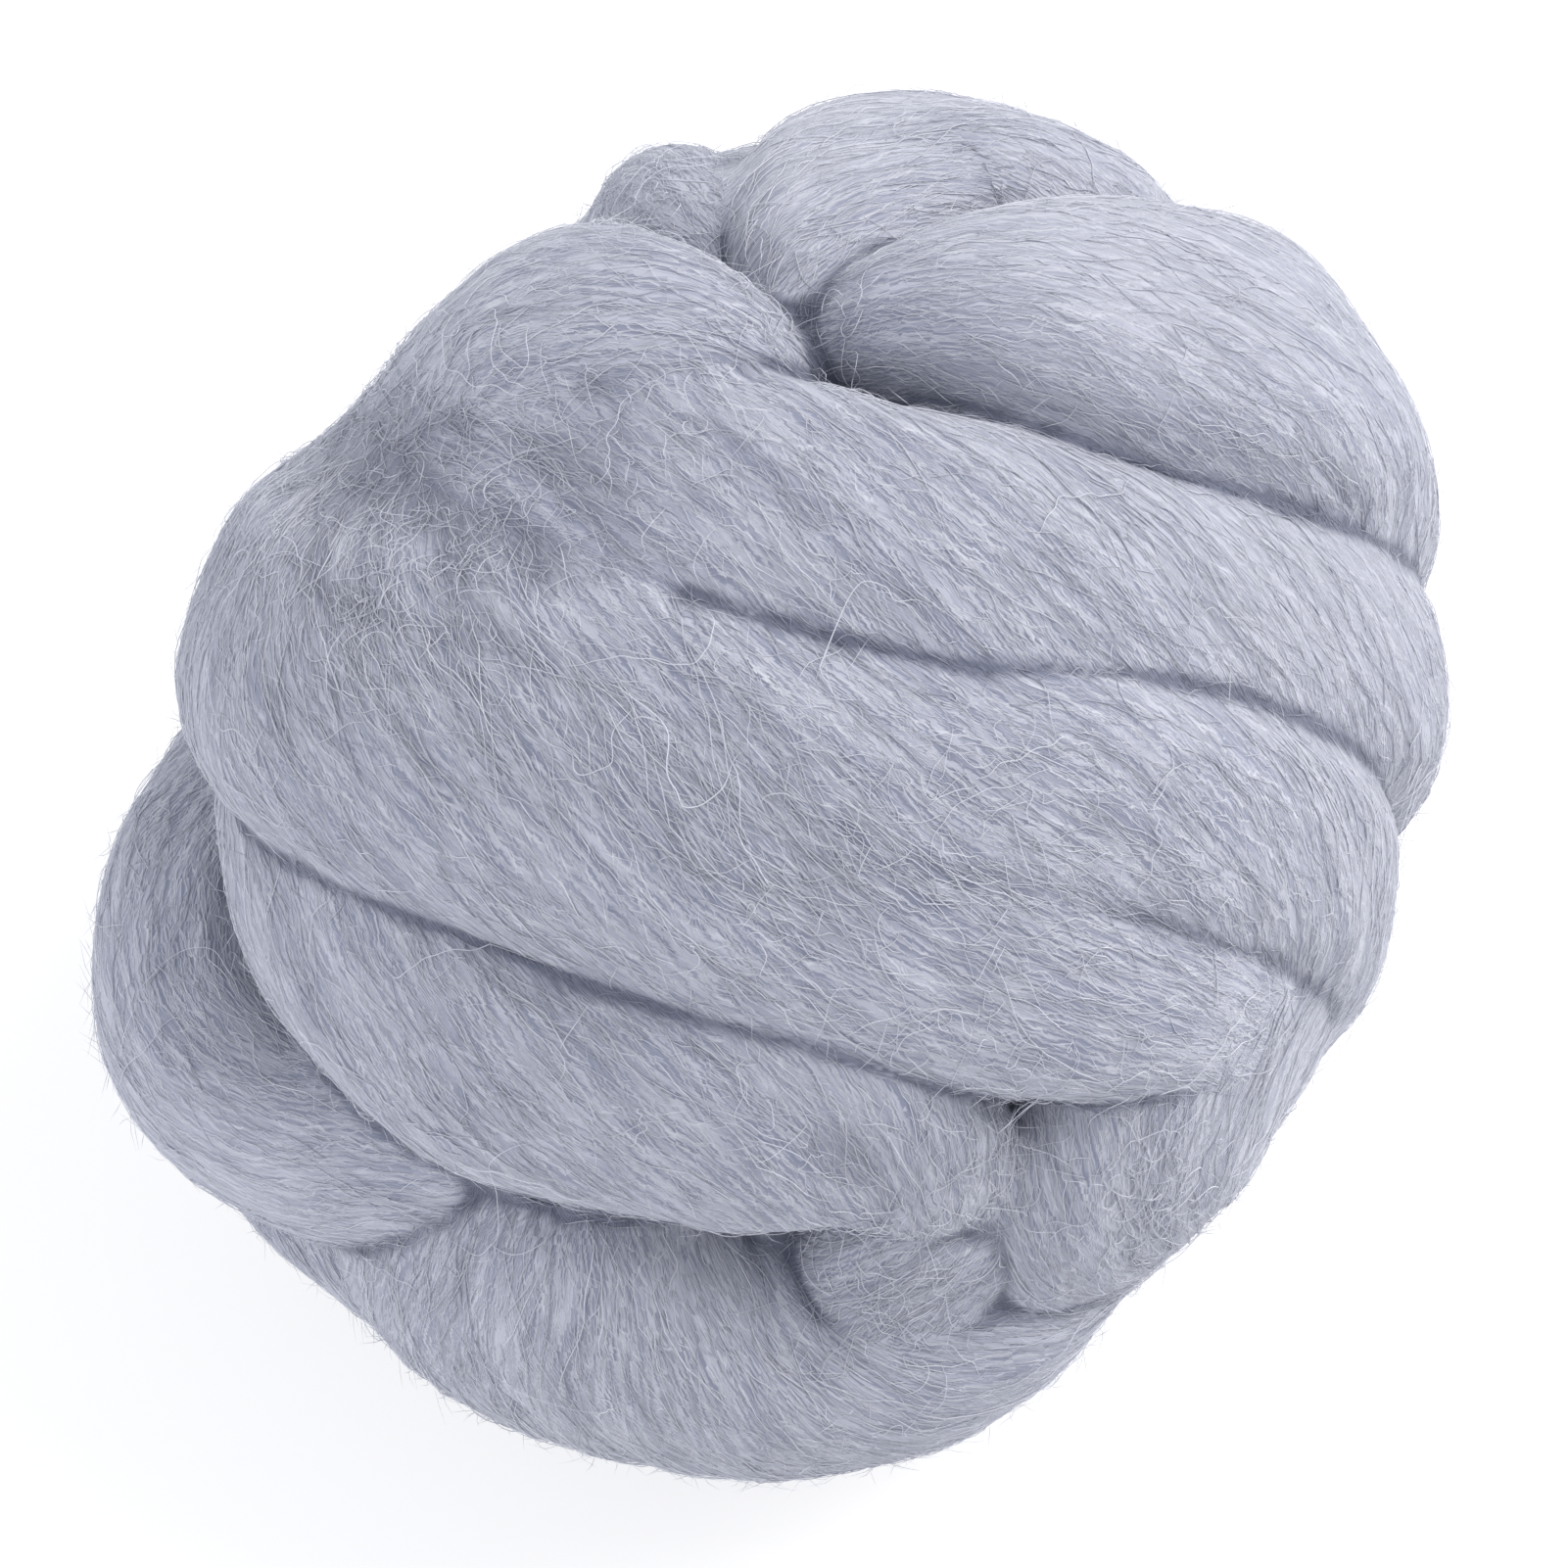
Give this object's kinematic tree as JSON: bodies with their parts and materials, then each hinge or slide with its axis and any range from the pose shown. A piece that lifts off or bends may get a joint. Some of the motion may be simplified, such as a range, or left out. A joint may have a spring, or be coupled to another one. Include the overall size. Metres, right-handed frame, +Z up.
{
  "type": "ball of wool roving",
  "caption": "Loose, uneven ball wound from one thick, soft strand of combed wool fibre, resting on a small flat spot.",
  "frame": {"origin": "on the table, under the middle of the ball's bounding box", "axes": "+Z up; +X to the viewer's right; +Y away from the viewer, who looks down on the ball's face from -Y"},
  "size_m": [0.1314, 0.1264, 0.1138],
  "materials": {
    "wool": "soft, matt combed wool with a faint satin sheen along the fibres"
  },
  "bodies": {
    "root": {"wool_roving": "wool"}
  },
  "joints": []
}
